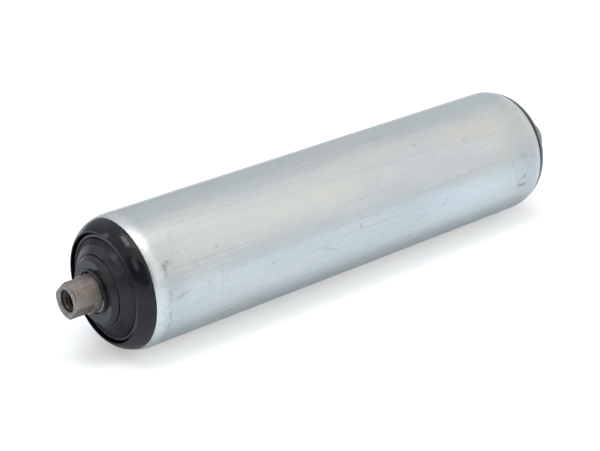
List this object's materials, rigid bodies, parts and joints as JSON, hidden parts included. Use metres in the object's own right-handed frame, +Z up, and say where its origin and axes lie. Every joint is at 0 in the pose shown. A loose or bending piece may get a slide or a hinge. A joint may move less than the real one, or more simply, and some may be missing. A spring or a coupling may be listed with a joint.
{
  "type": "conveyor roller",
  "caption": "Gravity conveyor roller: a zinc plated steel tube turning on ball bearings round a fixed shaft with tapped ends, sealed by black labyrinth end covers.",
  "frame": {"origin": "middle of the roller, on its axis", "axes": "+X along the roller's axis to the right-hand end, +Z up, +Y to the rear"},
  "size_m": [0.2354, 0.05, 0.05],
  "materials": {
    "zinc_plate": "zinc plated, satin",
    "shaft_steel": "drawn bar, uncoated, with faint rust",
    "housing_plastic": "black moulded plastic, glossy",
    "cover_plastic": "black moulded plastic, satin",
    "labyrinth_plastic": "black moulded plastic",
    "spring_wire": "bright spring wire",
    "bearing_steel": "ground bearing steel",
    "ball_steel": "polished",
    "cage_plastic": "natural moulded plastic",
    "seal_rubber": "black rubber"
  },
  "bodies": {
    "shaft_assembly": {"shaft": "shaft_steel", "end_cover_left": "cover_plastic", "end_cover_right": "cover_plastic", "retaining_ring_left": "spring_wire", "retaining_ring_right": "spring_wire", "bearing_inner_ring_left": "bearing_steel", "bearing_inner_ring_right": "bearing_steel"},
    "roller": {"tube": "zinc_plate", "bearing_housing_left": "housing_plastic", "bearing_housing_right": "housing_plastic", "labyrinth_ring_left": "labyrinth_plastic", "labyrinth_ring_right": "labyrinth_plastic", "bearing_outer_ring_left": "bearing_steel", "bearing_outer_ring_right": "bearing_steel", "front_seal_left": "seal_rubber", "front_seal_right": "seal_rubber", "rear_seal_left": "seal_rubber", "rear_seal_right": "seal_rubber"},
    "ball_set_left": {"bearing_balls_left": "ball_steel", "ball_cage_left": "cage_plastic"},
    "ball_set_right": {"bearing_balls_right": "ball_steel", "ball_cage_right": "cage_plastic"}
  },
  "joints": [
    {"name": "roller_spin", "type": "hinge", "parent": "shaft_assembly", "child": "roller", "pos_m": [0, 0, 0], "axis": [1, 0, 0], "continuous": true},
    {"name": "ball_set_left_turn", "type": "hinge", "parent": "shaft_assembly", "child": "ball_set_left", "pos_m": [-0.09055, 0, 0], "axis": [1, 0, 0], "continuous": true},
    {"name": "ball_set_right_turn", "type": "hinge", "parent": "shaft_assembly", "child": "ball_set_right", "pos_m": [0.09055, 0, 0], "axis": [1, 0, 0], "continuous": true}
  ],
  "couplings": [
    {"joint": "ball_set_left_turn", "follows": "roller_spin", "ratio": 0.6013},
    {"joint": "ball_set_right_turn", "follows": "roller_spin", "ratio": 0.6013}
  ]
}
